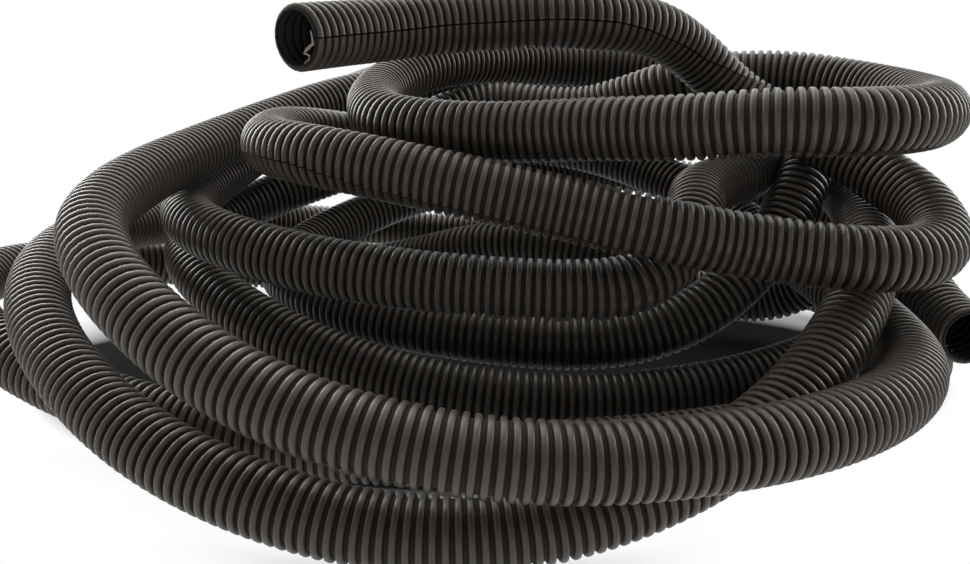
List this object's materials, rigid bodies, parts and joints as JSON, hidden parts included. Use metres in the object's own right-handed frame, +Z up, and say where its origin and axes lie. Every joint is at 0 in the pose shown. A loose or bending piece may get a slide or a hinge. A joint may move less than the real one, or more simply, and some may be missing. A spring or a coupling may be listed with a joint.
{
  "type": "wire loom",
  "caption": "Long split corrugated plastic loom tube for gathering wires, lying in a loose heap of turns with both ends open.",
  "frame": {"origin": "on the floor, under the middle of the heap's box", "axes": "+Z up; the open upper end faces -X and -Y, and the picture is taken from the -Y side"},
  "size_m": [0.479, 0.3756, 0.1741],
  "materials": {
    "loom_plastic": "semi-matte black polyethylene with a soft sheen on the crests of the ribs"
  },
  "bodies": {
    "root": {"loom": "loom_plastic"}
  },
  "joints": []
}
